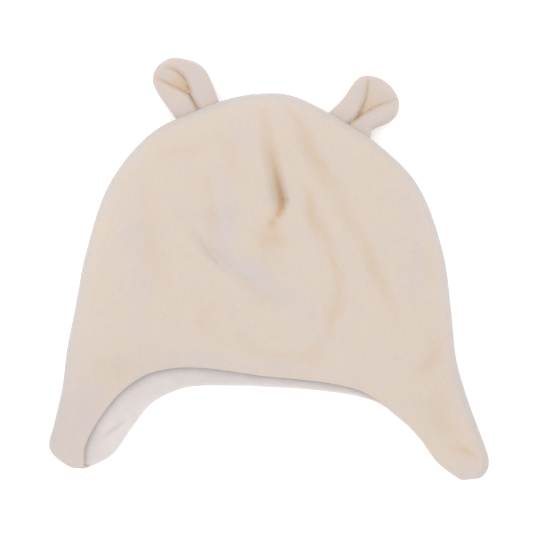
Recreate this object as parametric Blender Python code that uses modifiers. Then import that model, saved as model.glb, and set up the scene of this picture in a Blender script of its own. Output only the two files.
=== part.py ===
"""Baby hat with two folded ears, lying on its back on a table, front up and mouth towards -Y.

A velour front and back panel meet at the seam round the crown and at the flap tips.
Each has its own jersey lining. The two ears are caught in the crown seam.
Metres, +Z up. The origin is on the table, halfway between the crown and the flap tips.
"""

import math

import bmesh
import bpy
import numpy as np

# Driving sizes
HAT_WIDTH = 0.200  # laid flat, across the brow
CROWN_HEIGHT = 0.141  # crown seam down to the brow, just above the front hem
FLAP_DROP = 0.056  # brow down to the lower flap tip
LOFT = 0.036  # table up to the top of the puffed crown
HEM_LIFT = 0.0145  # table up to the top of the front hem, at its middle
FLAP_THICKNESS = 0.0115  # table up to the top of a flap
CROWN_SEAM_HEIGHT = 0.009  # table up to the seam at the crown
BACK_ROUND = 0.012  # width of the back panel's rounded border
TIP_ROUND = 0.009  # length over which a flap's tip closes
TIP_CORNER = 0.005  # how much the seam's corner at a flap's tip is rounded off
VELOUR = 0.0016
JERSEY = 0.0010
CLEARANCE = 0.0003  # between pieces that are sewn together
HEM_DEPTH = 0.0050  # how far the velour is turned in at a hem
HEM_BEVEL = 0.0011
SEAM_FADE = 0.010  # width over which the folds fade out towards the seam
HEM_FADE = 0.004  # and towards the hem

EAR_LENGTH = 0.032  # crown seam to the end of the ear
EAR_WIDTH = 0.0265
EAR_HEIGHT = 0.0108
EAR_BASE_HEIGHT = 0.0078  # where the folded ear is caught in the seam
EAR_CLOTH = 0.0030  # two layers of velour
EAR_ROLL = 0.0012  # how far the folded edges dip towards each other
EAR_TUCK = 0.0060  # length of the ear caught in the crown seam
EAR_REST = 0.0006  # table up to the underside of the ear's tip

DART_DEPTH = 0.0062
DART_WIDTH = 0.0046
DART_OVERHANG = 0.0020  # how far the cloth left of the dart leans over it
DART_STEEP_SHARE = 0.45  # width of its steep left wall, as a share of the right one's

# Shape of the rounded border, and the shares of a panel's width that it takes
BORDER_POWER = 2.5
FLAP_BORDER_SHARE = 0.34
CROWN_BORDER_SHARE = 0.50
LAND = 0.0010  # upright strip at the seam, so that sewn edges face each other squarely

# One row for each line across the hat, from the left flap tip round the crown to the right one.
# x is a share of half the width. y is a share of the crown's height above the brow, or of the
# flaps' drop below it. puff is 0 on a flap and 1 at the crown.
SECTION_COLUMNS = ("outer_x", "outer_y", "front_x", "front_y", "back_x", "back_y", "puff")
SECTIONS = (
    (-1.051, -0.872, -0.949, -0.881, -0.939, -0.890, 0.00),
    (-1.128, -0.697, -0.945, -0.690, -0.806, -0.760, 0.00),
    (-1.102, -0.468, -0.883, -0.464, -0.704, -0.505, 0.02),
    (-1.061, -0.147, -0.770, -0.205, -0.602, -0.287, 0.10),
    (-1.036, 0.079, -0.633, -0.032, -0.459, -0.165, 0.28),
    (-0.995, 0.224, -0.474, 0.013, -0.342, -0.134, 0.50),
    (-0.934, 0.440, -0.321, 0.011, -0.245, -0.134, 0.75),
    (-0.821, 0.675, -0.214, 0.002, -0.163, -0.134, 0.90),
    (-0.622, 0.852, -0.127, -0.018, -0.097, -0.137, 0.97),
    (-0.400, 0.936, -0.072, -0.034, -0.047, -0.142, 1.00),
    (-0.180, 0.991, -0.030, -0.043, -0.010, -0.146, 1.00),
    (-0.005, 1.006, 0.010, -0.049, 0.026, -0.149, 1.00),
    (0.130, 0.993, 0.047, -0.055, 0.060, -0.152, 1.00),
    (0.310, 0.930, 0.095, -0.063, 0.104, -0.156, 1.00),
    (0.546, 0.823, 0.160, -0.075, 0.164, -0.164, 0.97),
    (0.755, 0.671, 0.245, -0.091, 0.240, -0.176, 0.90),
    (0.878, 0.440, 0.352, -0.123, 0.347, -0.200, 0.75),
    (0.923, 0.224, 0.464, -0.178, 0.459, -0.237, 0.50),
    (0.949, 0.051, 0.582, -0.296, 0.566, -0.305, 0.28),
    (1.000, -0.202, 0.673, -0.437, 0.662, -0.437, 0.10),
    (1.061, -0.505, 0.770, -0.624, 0.775, -0.606, 0.02),
    (1.117, -0.789, 0.857, -0.835, 0.866, -0.815, 0.00),
    (1.107, -0.972, 0.974, -0.995, 0.978, -0.982, 0.00),
)

# One row for each soft fold of the front, from its start through its bend to its end. Places are
# shares as above, reach is a share of the crown's height and rise a share of the loft. A fold is
# highest, or lowest, at the share of its length that peak gives.
FOLD_COLUMNS = ("x0", "y0", "x1", "y1", "x2", "y2", "reach", "rise", "peak")
FOLDS = {
    "ridge_left_of_dart": (-0.102, 0.939, -0.061, 0.765, 0.005, 0.610, 0.036, 0.085, 0.8),
    "ridge_right_of_dart": (0.041, 0.917, 0.153, 0.747, 0.270, 0.560, 0.032, 0.065, 0.4),
    "ridge_right_low": (0.270, 0.560, 0.352, 0.440, 0.374, 0.330, 0.032, 0.040, 0.3),
    "valley_right": (0.082, 0.931, 0.230, 0.747, 0.408, 0.545, 0.032, -0.070, 0.4),
    "valley_right_low": (0.408, 0.545, 0.556, 0.336, 0.643, 0.195, 0.040, -0.040, 0.4),
    "valley_inner": (0.173, 0.635, 0.265, 0.495, 0.372, 0.336, 0.026, -0.058, 0.3),
    "valley_inner_low": (0.372, 0.336, 0.352, 0.245, 0.270, 0.144, 0.026, -0.050, 0.5),
    "pit_below_dart": (0.010, 0.500, 0.005, 0.460, 0.010, 0.420, 0.040, -0.090, 0.4),
    "crease_left": (-0.332, 0.657, -0.296, 0.531, -0.214, 0.386, 0.026, -0.045, 0.5),
    "ridge_slanting": (-0.255, 0.621, -0.179, 0.422, 0.051, 0.289, 0.044, 0.060, 0.6),
    "valley_slanting": (-0.367, 0.477, -0.245, 0.397, -0.163, 0.350, 0.026, -0.040, 0.5),
    "valley_middle": (-0.087, 0.304, -0.010, 0.260, 0.087, 0.224, 0.028, -0.040, 0.5),
    "valley_above_brow": (-0.184, 0.195, -0.163, 0.087, 0.326, 0.051, 0.024, -0.045, 0.4),
    "hollow_far_left": (-0.612, 0.657, -0.587, 0.513, -0.546, 0.368, 0.032, -0.035, 0.5),
    "hollow_right_cheek": (0.709, -0.092, 0.796, 0.022, 0.883, 0.105, 0.028, -0.050, 0.5),
    "crease_right_tip": (0.944, -0.734, 1.010, -0.798, 1.082, -0.789, 0.016, -0.035, 0.5),
    "dimple_right_flap": (0.806, -0.303, 0.857, -0.422, 0.918, -0.550, 0.032, -0.040, 0.5),
    "crease_left_flap": (-1.087, -0.505, -1.046, -0.440, -1.010, -0.330, 0.014, -0.030, 0.5),
}

# The dart's line, in the same shares. It is deepest near its lower end.
DART_LINE = (-0.041, 0.960, 0.010, 0.765, 0.066, 0.578)
DART_PEAK = 0.78

# One row for each ear: x and y of the middle of its base, and the lean of its length from +Y. Its
# length, width and narrow neck are shares of the named sizes. open is how much of its upper side
# has opened at the tip, and shift how far that opening lies to one side, as a share of the width.
EAR_COLUMNS = ("x", "y", "lean_deg", "length", "width", "neck", "open", "shift")
EARS = {
    "left_ear": (-0.365, 0.937, 32.0, 1.00, 1.02, 0.97, 0.58, -0.20),
    "right_ear": (0.411, 0.888, -44.0, 0.93, 1.03, 0.86, 0.76, 0.02),
}

# Mesh density
SIDE_COLUMNS = 14
DART_COLUMNS = 10
DART_SPAN = 2.4  # how many rows of SECTIONS the closer columns cover
TIP_COLUMNS = 3
FRONT_BORDER_ROWS = 5
FRONT_ROWS = 8
BACK_BORDER_ROWS = 4
BACK_ROWS = 1
EAR_ROWS = 7
EAR_TIP_ROWS = 5
EAR_POINTS_ACROSS = 21
CURVE_SAMPLES = 24

BROW_Y = (FLAP_DROP - CROWN_HEIGHT) / 2
PEACH_CREAM = (0.74, 0.62, 0.53, 1)
OFF_WHITE = (0.74, 0.69, 0.66, 1)


def place(share_x, share_y):
    """Shares of the hat's sizes as X and Y in metres."""
    share_x, share_y = np.asarray(share_x, float), np.asarray(share_y, float)
    drop = np.where(share_y > 0, CROWN_HEIGHT, FLAP_DROP)
    return np.stack([share_x * HAT_WIDTH / 2, BROW_Y + share_y * drop], axis=-1)


def blend(start, end, share):
    return start + (end - start) * share


def ease(share):
    """0 to 1 with level ends."""
    share = np.clip(share, 0, 1)
    return share * share * (3 - 2 * share)


def smooth_through(rows, at):
    """A Catmull-Rom curve through the rows, read at row numbers that may be fractions."""
    p = np.vstack([2 * rows[0] - rows[1], rows, 2 * rows[-1] - rows[-2]])
    k = np.clip(np.floor(at).astype(int), 0, len(rows) - 2)
    t = (at - k)[:, None]
    a, b, c, d = p[k], p[k + 1], p[k + 2], p[k + 3]
    return b + t / 2 * (c - a + t * (2 * a - 5 * b + 4 * c - d + t * (3 * (b - c) + d - a)))


def round_over(count):
    """Shares (along, up) of a rounded border, from its upright foot to its level top."""
    angle = np.linspace(0, math.pi / 2, count + 1)[1:]
    return 1 - np.cos(angle).clip(0) ** (2 / BORDER_POWER), np.sin(angle) ** (2 / BORDER_POWER)


def beside_line(xy, shares):
    """Each point's signed distance from a line of the front, left negative, and its place along it."""
    t = np.linspace(0, 1, CURVE_SAMPLES)
    start, bend, end = place(shares[0::2], shares[1::2])
    u = t[:, None]
    line = (1 - u) ** 2 * start + 2 * u * (1 - u) * bend + u**2 * end
    apart = xy[..., None, :] - line
    nearest = np.linalg.norm(apart, axis=-1).argmin(-1)
    offset = np.take_along_axis(apart, nearest[..., None, None], -2)[..., 0, :]
    ahead = np.gradient(line, axis=0)[nearest]
    side = np.sign(offset[..., 1] * ahead[..., 0] - offset[..., 0] * ahead[..., 1])
    return side * np.linalg.norm(offset, axis=-1), t[nearest]


def swell(t, peak):
    """1 at the peak of a fold, easing to a quarter at its start and end."""
    return blend(0.25, 1.0, ease(np.where(t < peak, t / peak, (1 - t) / (1 - peak))))


def sculpted(xy):
    """The sideways lean and the height that the folds and the dart give the front at each point."""
    height = np.zeros(xy.shape[:-1])
    for shares in FOLDS.values():
        fold = dict(zip(FOLD_COLUMNS, shares))
        distance, t = beside_line(xy, shares[:6])
        ridge = np.exp(-((distance / (fold["reach"] * CROWN_HEIGHT)) ** 2))
        height += fold["rise"] * LOFT * ridge * swell(t, fold["peak"])
    distance, t = beside_line(xy, DART_LINE)
    deep = swell(t, DART_PEAK)
    half = DART_WIDTH / 2
    wall = np.where(distance < 0, DART_WIDTH * DART_STEEP_SHARE, DART_WIDTH)
    height -= DART_DEPTH * deep * np.exp(-(np.abs(distance / wall) ** 1.6))
    lean = DART_OVERHANG * deep * np.exp(-(((distance + half) / half) ** 2))
    return lean, height


def cuts(hem, to_the_tips):
    """Lines across one panel: their seam ends, hem ends, puff, and how far the tips have opened."""
    table = dict(zip(SECTION_COLUMNS, np.array(SECTIONS).T))
    outer = place(table["outer_x"], table["outer_y"])
    inner = place(table[hem + "_x"], table[hem + "_y"])
    rows = np.column_stack([outer, inner, table["puff"]])
    last = len(rows) - 1
    along, up = round_over(TIP_COLUMNS)
    first_step = np.linalg.norm(outer[1] - outer[0] + inner[1] - inner[0]) / 2
    last_step = np.linalg.norm(outer[-1] - outer[-2] + inner[-1] - inner[-2]) / 2
    start = along * TIP_ROUND / first_step
    stop = last - along * TIP_ROUND / last_step
    middle = last / 2
    dart = np.linspace(middle - DART_SPAN / 2, middle + DART_SPAN / 2, DART_COLUMNS + 1)
    left = np.linspace(start[-1], dart[0], SIDE_COLUMNS + 1)[1:-1]
    right = np.linspace(dart[-1], stop[-1], SIDE_COLUMNS + 1)[1:-1]
    at = np.concatenate([left, dart, right])
    opened = np.ones(at.size)
    if to_the_tips:
        at = np.concatenate([[0, 0], start, at, stop[::-1], [last, last]])
        opened = np.concatenate([[0, 0], up, opened, up[::-1], [0, 0]])
    cut = smooth_through(rows, at)
    seam, hem = cut[:, 0:2], cut[:, 2:4]
    width = np.linalg.norm(hem - seam, axis=1)
    seam = seam + (hem - seam) * (TIP_CORNER * (1 - opened) / width)[:, None]
    return seam, hem, cut[:, 4].clip(0, 1), opened


def shares_across(width, border, along, field_rows, hem_rows, stop_short):
    """For each row from the seam to the hem, its share of the way across the panel."""
    end = 1 - stop_short / width
    turned = np.minimum(HEM_DEPTH / width, (1 - border) * 0.6) if hem_rows else 0 * width
    rows = [0 * width, 0 * width]
    rows += [border * a for a in along]
    rows += [blend(border, end - turned, f) for f in np.linspace(0, 1, field_rows + 1)[1:]]
    rows += [end - turned * h for h in hem_rows]
    return np.array(rows)


def front_points(hem_rows=(), stop_short=0.0):
    """The front's outer side, row by row from the seam to the hem."""
    seam, hem, puff, opened = cuts("front", to_the_tips=not stop_short)
    width = np.linalg.norm(hem - seam, axis=1)
    border = blend(FLAP_BORDER_SHARE, CROWN_BORDER_SHARE, puff)
    along, up = round_over(FRONT_BORDER_ROWS)
    share = shares_across(width, border, along, FRONT_ROWS, hem_rows, stop_short)
    base = blend(FLAP_THICKNESS / 2, CROWN_SEAM_HEIGHT, puff)
    crest = blend(FLAP_THICKNESS, LOFT, puff)
    hem_top = blend(FLAP_THICKNESS * 0.95, HEM_LIFT, puff)
    fall = np.clip((share - border) / (1 - border), 0, 1) ** 1.8
    rise = crest - base - (crest - hem_top) * fall
    rise[1] = LAND
    rise[2 : 2 + len(up)] = np.outer(up, crest - base)
    rise = np.maximum(rise * opened, LAND)
    rise[0] = 0
    if not stop_short:
        rise[:, [0, -1]] = 0
    xy = seam + (hem - seam) * share[..., None]
    lean, fold = sculpted(xy)
    clear_of_seam = ease(share * width / SEAM_FADE)
    clear_of_hem = ease((1 - share) * width / HEM_FADE)
    keep = clear_of_seam * clear_of_hem * ease(opened)
    x = xy[..., 0] + lean * keep
    z = base + CLEARANCE / 2 + rise + fold * keep
    return np.stack([x, xy[..., 1], z], axis=-1)


def back_points(hem_rows=(), stop_short=0.0):
    """The back's outer side, row by row from the seam to the hem. It lies flat on the table."""
    seam, hem, puff, opened = cuts("back", to_the_tips=not stop_short)
    width = np.linalg.norm(hem - seam, axis=1)
    border = np.minimum(BACK_ROUND / width, 0.4)
    along, up = round_over(BACK_BORDER_ROWS)
    share = shares_across(width, border, along, BACK_ROWS, hem_rows, stop_short)
    base = blend(FLAP_THICKNESS / 2, CROWN_SEAM_HEIGHT, puff) - CLEARANCE / 2
    drop = np.repeat(base[None], len(share), axis=0)
    drop[1] = LAND
    drop[2 : 2 + len(up)] = np.outer(up, base)
    drop = np.maximum(drop * opened, LAND)
    drop[0] = 0
    if not stop_short:
        drop[:, [0, -1]] = 0
    xy = seam + (hem - seam) * share[..., None]
    return np.dstack([xy, base - drop])


def ear_points(ear):
    """The outer side of a folded ear, row by row from its base to its tip, along +Y at the origin."""
    length = ear["length"] * EAR_LENGTH
    half = ear["width"] * EAR_WIDTH / 2
    straight = np.linspace(-EAR_TUCK, length - half, EAR_ROWS + 1)
    bend = np.linspace(0, math.pi / 2, EAR_TIP_ROWS + 1)[1:]
    y = np.concatenate([straight, length - half + half * np.sin(bend)])[:, None]
    s = np.clip(y / length, 0, 1)
    a = half * (1 - (1 - ear["neck"]) * np.exp(-(((s - 0.25) / 0.2) ** 2)))
    a[-EAR_TIP_ROWS:, 0] *= np.cos(bend)
    b = blend(EAR_BASE_HEIGHT, EAR_HEIGHT, ease(s / 0.6)) / 2
    middle = blend(CROWN_SEAM_HEIGHT, EAR_REST + EAR_HEIGHT / 2, ease(s / 0.6))
    b = b * np.sqrt(1 - np.clip((y - length + b) / b, 0, 1) ** 2)
    flat = np.maximum(a - b, 0)
    open_share = 0.02 + ear["open"] * s**2
    reach = 2 * flat + math.pi * b - open_share * (flat + math.pi * b / 2)
    t = np.linspace(-1, 1, EAR_POINTS_ACROSS) * reach + ear["shift"] * EAR_WIDTH * s * (s < 1)
    along = np.abs(t)
    angle = np.clip((along - flat) / np.maximum(b, 1e-9), 0, math.pi)
    past = np.clip(along - flat - math.pi * b, 0, None)
    x = np.sign(t) * (np.minimum(along, flat) + b * np.sin(angle) - past)
    z = middle - b * np.cos(angle) - EAR_ROLL * (past / np.maximum(flat, 1e-9)) ** 2
    return np.stack([x, np.broadcast_to(y, x.shape), z], axis=-1)


def material(name, colour, sheen):
    made = bpy.data.materials.new(name)
    made.use_nodes = True
    shader = made.node_tree.nodes["Principled BSDF"]
    shader.inputs["Base Color"].default_value = colour
    shader.inputs["Roughness"].default_value = 0.9
    shader.inputs["Metallic"].default_value = 0
    shader.inputs["Sheen Weight"].default_value = sheen
    return made


def sheet(name, points, flip, edge_rows=0):
    """A sheet of cloth whose grid lies at the points. edge_rows is how many rows its hem takes."""
    rows, across = points.shape[:2]
    bm = bmesh.new()
    bmesh.ops.create_grid(bm, x_segments=across - 1, y_segments=rows - 1, size=0.5)
    group = bm.verts.layers.deform.verify()
    rounded = bm.edges.layers.float.new("bevel_weight_edge")
    grid = list(bm.verts)
    for vertex, point in zip(grid, points.reshape(-1, 3)):
        vertex.co = point
    for i in range(rows - edge_rows, rows):
        for vertex in grid[i * across + 2 : (i + 1) * across - 2]:
            vertex[group][0] = 1
    hem = set(grid[2 - across : -2]) if edge_rows else set()
    for edge in bm.edges:
        edge[rounded] = float(set(edge.verts) <= hem)
    bmesh.ops.remove_doubles(bm, verts=bm.verts, dist=1e-6)
    if flip:
        bmesh.ops.reverse_faces(bm, faces=bm.faces)
    mesh = bpy.data.meshes.new(name)
    bm.to_mesh(mesh)
    bm.free()
    made = bpy.data.objects.new(name, mesh)
    made.vertex_groups.new(name="turned_in")
    return made


def thicken(obj, thickness, depth=0.0, thin=None):
    """Give a sheet its thickness, inwards from a depth. Away from its hem it is only thin thick."""
    cloth = obj.modifiers.new("Cloth", "SOLIDIFY")
    cloth.thickness = thickness
    cloth.offset = -1 - 2 * depth / thickness
    if thin:
        cloth.vertex_group = "turned_in"
        cloth.thickness_vertex_group = thin / thickness


def round_edges(obj, width):
    rounding = obj.modifiers.new("Rounded edge", "BEVEL")
    rounding.width = width
    rounding.segments = 2
    rounding.limit_method = "WEIGHT"
    rounding.use_clamp_overlap = True


def panel(name, points_of, flip, finish):
    """A velour panel with its hem turned in."""
    obj = sheet(name, points_of(hem_rows=(0.85, 0.4, 0.0)), flip, edge_rows=3)
    thicken(obj, VELOUR + CLEARANCE + JERSEY, thin=VELOUR)
    round_edges(obj, HEM_BEVEL)
    obj.data.materials.append(finish)
    return obj


def lining(name, points_of, flip, finish):
    """The jersey inside a panel, which ends at the turned-in hem."""
    obj = sheet(name, points_of(stop_short=HEM_DEPTH + CLEARANCE), flip)
    thicken(obj, JERSEY, depth=VELOUR + CLEARANCE)
    obj.data.materials.append(finish)
    return obj


def crown_cutter():
    """The crown's outside, one clearance larger, which the ears stop at."""
    points = np.concatenate([front_points().reshape(-1, 3), back_points().reshape(-1, 3)])
    bm = bmesh.new()
    for point in points[points[:, 1] > 0]:
        bm.verts.new(point)
    hull = bmesh.ops.convex_hull(bm, input=bm.verts)
    inner = [item for item in hull["geom_interior"] if isinstance(item, bmesh.types.BMVert)]
    bmesh.ops.delete(bm, geom=inner, context="VERTS")
    mesh = bpy.data.meshes.new("crown_outside")
    bm.to_mesh(mesh)
    bm.free()
    made = bpy.data.objects.new("crown_outside", mesh)
    grown = made.modifiers.new("Clearance", "DISPLACE")
    grown.mid_level = 0
    grown.strength = CLEARANCE
    made.hide_render = True
    made.display_type = "WIRE"
    return made


def ear_object(name, cutter, finish):
    """A folded ear, caught in the crown seam."""
    ear = dict(zip(EAR_COLUMNS, EARS[name]))
    obj = sheet(name, ear_points(ear), flip=True)
    x, y = place(ear["x"], ear["y"])
    obj.location = (x, y, 0)
    obj.rotation_euler = (0, 0, math.radians(ear["lean_deg"]))
    thicken(obj, EAR_CLOTH)
    cut = obj.modifiers.new("Stop at the crown", "BOOLEAN")
    cut.operation = "DIFFERENCE"
    cut.object = cutter
    obj.data.materials.append(finish)
    return obj


def main():
    for obj in list(bpy.data.objects):
        bpy.data.objects.remove(obj)
    hat = bpy.data.collections.new("baby_hat_with_ears")
    cutters = bpy.data.collections.new("cutters")
    for collection in (hat, cutters):
        bpy.context.scene.collection.children.link(collection)
    velour = material("peach_cream_velour", PEACH_CREAM, 0.6)
    jersey = material("off_white_jersey", OFF_WHITE, 0.2)
    cutter = crown_cutter()
    cutters.objects.link(cutter)
    pieces = [
        panel("front_panel", front_points, True, velour),
        panel("back_panel", back_points, False, velour),
        lining("front_lining", front_points, True, jersey),
        lining("back_lining", back_points, False, jersey),
    ]
    pieces += [ear_object(name, cutter, velour) for name in EARS]
    for obj in pieces:
        hat.objects.link(obj)
        obj.data.shade_smooth()


main()
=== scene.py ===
"""Looks of the baby hat with two folded ears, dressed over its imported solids.

The velour panels, jersey linings and ears are made again with fine meshes, rolled hems, seam
puckers and soft folds, and get materials made of nodes. Metres, +Z up, in the solids' frame.
"""

import math

import bmesh
import bpy
import numpy as np
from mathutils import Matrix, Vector


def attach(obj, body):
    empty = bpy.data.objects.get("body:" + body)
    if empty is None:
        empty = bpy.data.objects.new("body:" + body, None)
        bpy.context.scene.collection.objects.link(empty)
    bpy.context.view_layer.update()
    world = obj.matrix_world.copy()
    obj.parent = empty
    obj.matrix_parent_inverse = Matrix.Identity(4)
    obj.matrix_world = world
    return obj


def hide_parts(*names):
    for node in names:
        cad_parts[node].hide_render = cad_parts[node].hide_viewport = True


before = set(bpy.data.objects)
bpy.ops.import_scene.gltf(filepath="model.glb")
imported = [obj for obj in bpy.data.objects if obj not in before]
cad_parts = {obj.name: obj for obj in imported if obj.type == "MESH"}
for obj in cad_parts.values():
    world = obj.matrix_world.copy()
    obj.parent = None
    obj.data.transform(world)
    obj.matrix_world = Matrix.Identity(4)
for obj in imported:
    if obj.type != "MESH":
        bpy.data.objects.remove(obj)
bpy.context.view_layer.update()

# Driving sizes, which are the solids' own but for the droop
HAT_WIDTH = 0.200  # laid flat, across the brow
CROWN_HEIGHT = 0.141  # crown seam down to the brow, just above the front hem
FLAP_DROP = 0.056  # brow down to the lower flap tip
LOFT = 0.036  # table up to the top of the puffed crown
HEM_LIFT = 0.0145  # table up to the top of the solid's front hem, at its middle
FLAP_THICKNESS = 0.0115  # table up to the top of a flap
FLAP_HEM_SHARE = 0.95  # height of a flap's hem, as a share of that
CROWN_SEAM_HEIGHT = 0.009  # table up to the seam at the crown
BACK_ROUND = 0.012  # width of the back panel's rounded border
BACK_ROUND_MOST = 0.4  # and its limit, as a share of the panel's width
TIP_ROUND = 0.009  # length over which a flap's tip closes
TIP_CORNER = 0.005  # how much the seam's corner at a flap's tip is rounded off
HEM_DROOP = 0.0065  # how far the front's soft hem sinks below the solid's, at its middle
FLAP_DROOP_SHARE = 0.55  # the same on a flap, as a share of that
HEM_DROOP_WIDTH = 0.026  # width over which the front sinks towards its hem
EAR_LENGTH = 0.032
EAR_WIDTH = 0.0265
EAR_HEIGHT = 0.0108
EAR_BASE_HEIGHT = 0.0078  # where the folded ear is caught in the seam
EAR_REST = 0.0006  # table up to the underside of the ear's tip
# The front's rounded border at its seam, as shares of its width, and the curves of its rise from
# the seam and of its fall to the hem
FLAP_BORDER_SHARE = 0.34
CROWN_BORDER_SHARE = 0.50
BORDER_POWER = 2.5
FALL_POWER = 1.8

# The dart
DART_DEPTH = 0.0054
DART_WIDTH = 0.0046
DART_STEEP_SHARE = 0.35  # width of its steep left wall, as a share of the right one's
DART_POWER = 1.7  # how sharply its walls turn
DART_OVERHANG = 0.0020  # how far the cloth left of the dart leans over it
OVERHANG_PLACE, OVERHANG_REACH = 0.45, 0.6  # where and how widely, as shares of the dart's width
DART_SHADE_LEFT, DART_SHADE_RIGHT = 0.0008, 0.0026  # reach of its core of painted shade to either side
DART_SHADE_POWER = 1.8
DART_SHADE_SPREAD = 0.75  # under 1, the painted shade of the core stays dark where the dart gets shallow
HOOK_REACH, HOOK_STRENGTH = 0.0025, 1.0  # the painted shade of the hook at its lower end
HOOK_FADE = 1 / 3  # how much weaker the hook gets towards its end
LIP_REACH, LIP_STRENGTH = 0.0011, 0.80  # the painted highlight on the edge of the cloth that leans over

# Relief
SEAM_FADE = 0.010  # width over which the folds fade out towards the seam
HEM_FADE = 0.004  # and towards the hem
SOFT_RELIEF, SOFT_RELIEF_WAVE = 0.00030, 0.026  # height and length of the cloth's soft waves
FINE_RELIEF, FINE_RELIEF_WAVE = 0.00006, 0.009  # and of its fine ones
PUCKER_HEIGHT, PUCKER_WAVE = 0.00035, 0.0085  # the same for the ripples where it is sewn
PUCKER_START, PUCKER_REACH = 0.003, 0.008  # widths over which they rise and fade
WAVES_IN_RELIEF = 14
SHORTEST_WAVE, LONGEST_WAVE = 0.7, 1.5  # as shares of the length that a relief asks for
# The random draws of each relief start from its own seed
SEEDS = {
    "soft_relief": 3,
    "fine_relief": 4,
    "stroke_width": 5,
    "front_puckers": 7,
    "back_puckers": 8,
    "stroke_x": 21,
    "stroke_y": 22,
    "stroke_strength": 23,
    "lining": 31,
}

# Cloth
VELOUR = 0.0013
JERSEY = 0.0008
BETWEEN_CLOTHS = 0.00015
HEM_ROLL = 0.00145  # radius of a hem's soft roll
ROLL_GROWTH = 1.5  # how fast the roll gets its full radius as a flap's tip opens
HEM_SHARE_MOST = 0.3  # limit of the roll's part of a panel's width
FRONT_MEET = 100.0  # degrees round the front hem's roll, where the velour meets the jersey
BACK_MEET = 60.0  # the same at the back, below the rim
MEET_GAP = 5.0  # degrees between them
LINING_RELIEF, LINING_WAVE = 0.00015, 0.018  # how much the lining lies up and down
HEM_EASE = 0.008  # over this width the lining leaves the roll
# The soft crease of the left flap's lining, in the shares of the next table
BAND_CREASE = (-0.862, -0.610, -0.806, -0.528, -0.725, -0.440)
# how high the lining rises beside the crease, how far that reaches, and how strong the shade painted
# into the crease is
BAND_CREASE_RISE, BAND_CREASE_REACH, BAND_CREASE_SHADE = 0.0010, 0.0020, 0.50
BAND_RIDGE_PLACE = 1.2  # the ridge's distance from the crease, as a share of the crease's reach
BAND_SHADE_SHARE = 0.5  # reach of the crease's painted shade, as a share of that

# One row for each line across the hat, from the left flap tip round the crown to the right one.
# x is a share of half the width. y is a share of the crown's height above the brow, or of the
# flaps' drop below it. puff is 0 on a flap and 1 at the crown.
SECTION_COLUMNS = ("outer_x", "outer_y", "front_x", "front_y", "back_x", "back_y", "puff")
SECTIONS = (
    (-1.051, -0.872, -0.949, -0.881, -0.939, -0.890, 0.00),
    (-1.128, -0.697, -0.945, -0.690, -0.806, -0.760, 0.00),
    (-1.102, -0.468, -0.883, -0.464, -0.704, -0.505, 0.02),
    (-1.061, -0.147, -0.770, -0.205, -0.602, -0.287, 0.10),
    (-1.036, 0.079, -0.633, -0.032, -0.459, -0.165, 0.28),
    (-0.995, 0.224, -0.474, 0.013, -0.342, -0.134, 0.50),
    (-0.934, 0.440, -0.321, 0.011, -0.245, -0.134, 0.75),
    (-0.821, 0.675, -0.214, 0.002, -0.163, -0.134, 0.90),
    (-0.622, 0.852, -0.127, -0.018, -0.097, -0.137, 0.97),
    (-0.400, 0.936, -0.072, -0.034, -0.047, -0.142, 1.00),
    (-0.180, 0.991, -0.030, -0.043, -0.010, -0.146, 1.00),
    (-0.005, 1.006, 0.010, -0.049, 0.026, -0.149, 1.00),
    (0.130, 0.993, 0.047, -0.055, 0.060, -0.152, 1.00),
    (0.310, 0.930, 0.095, -0.063, 0.104, -0.156, 1.00),
    (0.546, 0.823, 0.160, -0.075, 0.164, -0.164, 0.97),
    (0.755, 0.671, 0.245, -0.091, 0.240, -0.176, 0.90),
    (0.878, 0.440, 0.352, -0.123, 0.347, -0.200, 0.75),
    (0.923, 0.224, 0.464, -0.178, 0.459, -0.237, 0.50),
    (0.949, 0.051, 0.582, -0.296, 0.566, -0.305, 0.28),
    (1.000, -0.202, 0.673, -0.437, 0.662, -0.437, 0.10),
    (1.061, -0.505, 0.770, -0.624, 0.775, -0.606, 0.02),
    (1.117, -0.789, 0.857, -0.835, 0.866, -0.815, 0.00),
    (1.107, -0.972, 0.974, -0.995, 0.978, -0.982, 0.00),
)

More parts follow.
